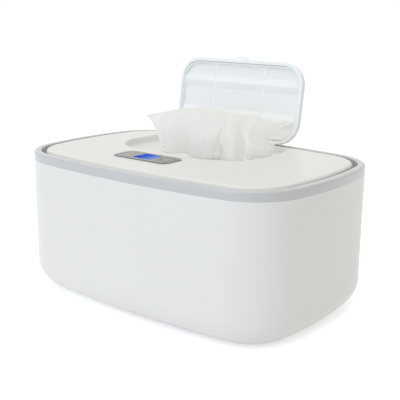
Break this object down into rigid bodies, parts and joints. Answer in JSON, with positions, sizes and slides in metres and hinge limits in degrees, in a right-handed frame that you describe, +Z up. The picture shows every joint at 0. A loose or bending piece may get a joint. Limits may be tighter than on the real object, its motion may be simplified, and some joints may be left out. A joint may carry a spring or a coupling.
{
  "type": "baby wipe warmer",
  "caption": "White rounded tub that keeps baby wipes warm, with a grey band, a hinged lid, a blue lit display, and an open flip hatch over the dispensing slot with a wipe pulled up through it.",
  "frame": {"origin": "Centre of the body's footprint, on the surface that the feet stand on. The open hatch reaches 3 mm behind the body.", "axes": "+X to the right along the length, seen from the front where the display is; -Y is the front, +Y the rear with the hinges; +Z is up."},
  "size_m": [0.24, 0.1645, 0.1738],
  "materials": {
    "white_abs": "warm white moulded ABS, satin gloss",
    "grey_trim": "pale grey moulded ABS, satin",
    "tub_pp": "white moulded polypropylene",
    "cool_pp": "cool white translucent moulded polypropylene",
    "slot_tpe": "soft white moulded elastomer",
    "foot_rubber": "grey moulded rubber",
    "base_abs": "white moulded ABS with a fine spark texture",
    "steel": "zinc plated steel",
    "aluminium_sheet": "rolled sheet",
    "heater_film": "orange polyimide film",
    "felt": "needled insulation felt",
    "circuit_board": "green solder mask on glass fibre board",
    "black_plastic": "black moulded plastic",
    "nonwoven": "moist spunlace nonwoven",
    "strip_gloss": "mid grey gloss moulded strip",
    "display_glass": "clear moulded window",
    "lcd_blue": "blue backlit display"
  },
  "bodies": {
    "base": {"outer_shell": "white_abs", "inner_tub": "tub_pp", "trim_ring": "grey_trim", "lid_hinge_pin": "steel", "lid_seal": "slot_tpe", "base_plate": "base_abs", "rubber_feet": "foot_rubber", "base_screws": "steel", "heater_plate": "aluminium_sheet", "heater_film": "heater_film", "thermal_cutout": "steel", "temperature_sensor": "steel", "thermal_fuse": "steel", "insulation_felt": "felt", "power_board": "circuit_board", "power_board_screws": "steel", "power_board_parts": "black_plastic", "power_inlet": "black_plastic", "wipe_stack": "nonwoven"},
    "lid": {"lid_cover": "white_abs", "lid_liner": "tub_pp", "lid_screws": "steel", "slot_frame": "slot_tpe", "hatch_hinge_pins": "steel", "display_strip": "strip_gloss", "display_window": "display_glass", "lcd_module": "lcd_blue", "display_board": "circuit_board", "display_board_screws": "steel", "key_switches": "black_plastic", "pulled_wipe": "nonwoven"},
    "hatch": {"hatch_cover": "white_abs", "hatch_liner": "cool_pp"},
    "power_button": {"power_key": "strip_gloss"},
    "heat_button": {"heat_key": "strip_gloss"}
  },
  "joints": [
    {"name": "lid_hinge", "type": "hinge", "parent": "base", "child": "lid", "pos_m": [0, 0.0776, 0.1032], "axis": [-1, 0, 0], "range_deg": [0, 95]},
    {"name": "hatch_hinge", "type": "hinge", "parent": "lid", "child": "hatch", "pos_m": [-0.0158, 0.0693, 0.1034], "axis": [1, 0, 0], "range_deg": [0, 98.5], "deforming": ["pulled_wipe"]},
    {"name": "power_key_press", "type": "slide", "parent": "lid", "child": "power_button", "axis": [0, 0, -1], "range_m": [0, 0.0004], "stiffness_N_per_m": 800},
    {"name": "heat_key_press", "type": "slide", "parent": "lid", "child": "heat_button", "axis": [0, 0, -1], "range_m": [0, 0.0004], "stiffness_N_per_m": 800}
  ]
}
